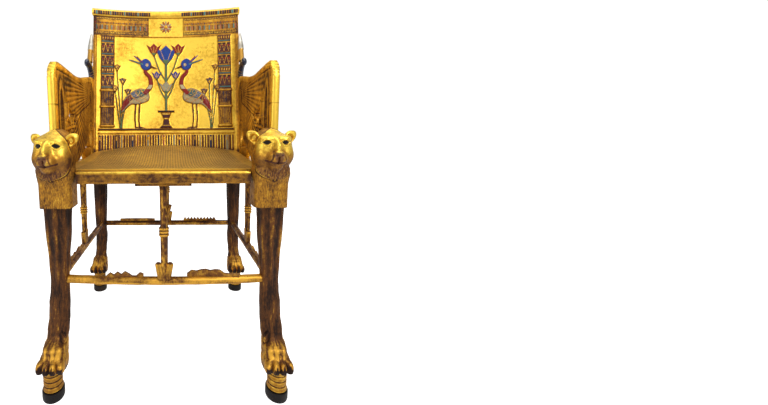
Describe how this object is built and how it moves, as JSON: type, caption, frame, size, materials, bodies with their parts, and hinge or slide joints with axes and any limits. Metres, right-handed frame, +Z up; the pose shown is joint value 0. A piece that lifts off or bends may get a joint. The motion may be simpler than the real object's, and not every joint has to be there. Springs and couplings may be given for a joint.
{
  "type": "ceremonial throne",
  "caption": "Royal armchair of gilded wood with lion-head corners, lion's legs on drum feet, winged openwork arms and a leaning inlaid back, for one sitter.",
  "frame": {"origin": "on the floor under the middle of the throne's bounding box", "axes": "+X across the seat to the sitter's left, +Y to the back, -Y the front, +Z up"},
  "size_m": [0.5794, 0.6098, 1.04],
  "materials": {
    "gilding": "aged gold leaf over carved wood",
    "worn_gilding": "gold leaf worn to dark brown wood, bright on the edges",
    "inlaid_gilding": "gold leaf with coloured glass and stone inlay",
    "black_bronze": "dark patinated bronze",
    "pale_silver": "silver leaf over a gilded band",
    "blue_glaze": "dark blue glass over carved wood"
  },
  "bodies": {
    "root": {"side_rail_left": "gilding", "side_rail_right": "gilding", "front_rail": "gilding", "rail_strip": "gilding", "rear_rail": "gilding", "seat": "gilding", "lion_head_left": "gilding", "lion_head_right": "gilding", "foreleg_left": "worn_gilding", "foreleg_right": "worn_gilding", "hindleg_left": "worn_gilding", "hindleg_right": "worn_gilding", "foot_drum_front_left": "gilding", "foot_drum_front_right": "gilding", "foot_cap_front_left": "black_bronze", "foot_cap_front_right": "black_bronze", "foot_drum_rear_left": "gilding", "foot_drum_rear_right": "gilding", "foot_cap_rear_left": "black_bronze", "foot_cap_rear_right": "black_bronze", "stretcher_front": "worn_gilding", "stretcher_rear": "worn_gilding", "stretcher_left": "worn_gilding", "stretcher_right": "worn_gilding", "stem_front": "worn_gilding", "stem_rear": "worn_gilding", "stem_left": "worn_gilding", "stem_right": "worn_gilding", "stub_front_right": "worn_gilding", "stub_front_left": "worn_gilding", "stub_rear_right": "worn_gilding", "stub_rear_left": "worn_gilding", "stub_side_left": "worn_gilding", "stub_side_right": "worn_gilding", "arm_left": "inlaid_gilding", "arm_right": "inlaid_gilding", "cobra_head_left": "blue_glaze", "cobra_head_right": "blue_glaze", "crown_left": "pale_silver", "crown_right": "pale_silver", "back_panel": "inlaid_gilding", "stile_left": "gilding", "stile_right": "gilding", "stile_centre": "gilding", "back_frieze": "gilding", "top_rail": "gilding", "rear_cobra_inner_left": "inlaid_gilding", "rear_cobra_inner_right": "inlaid_gilding", "rear_disc_inner_left": "gilding", "rear_disc_inner_right": "gilding", "rear_cobra_outer_left": "inlaid_gilding", "rear_cobra_outer_right": "inlaid_gilding", "rear_disc_outer_left": "gilding", "rear_disc_outer_right": "gilding", "side_cobra_left": "inlaid_gilding", "side_cobra_right": "inlaid_gilding", "side_crown_left": "pale_silver", "side_crown_right": "pale_silver"}
  },
  "joints": []
}
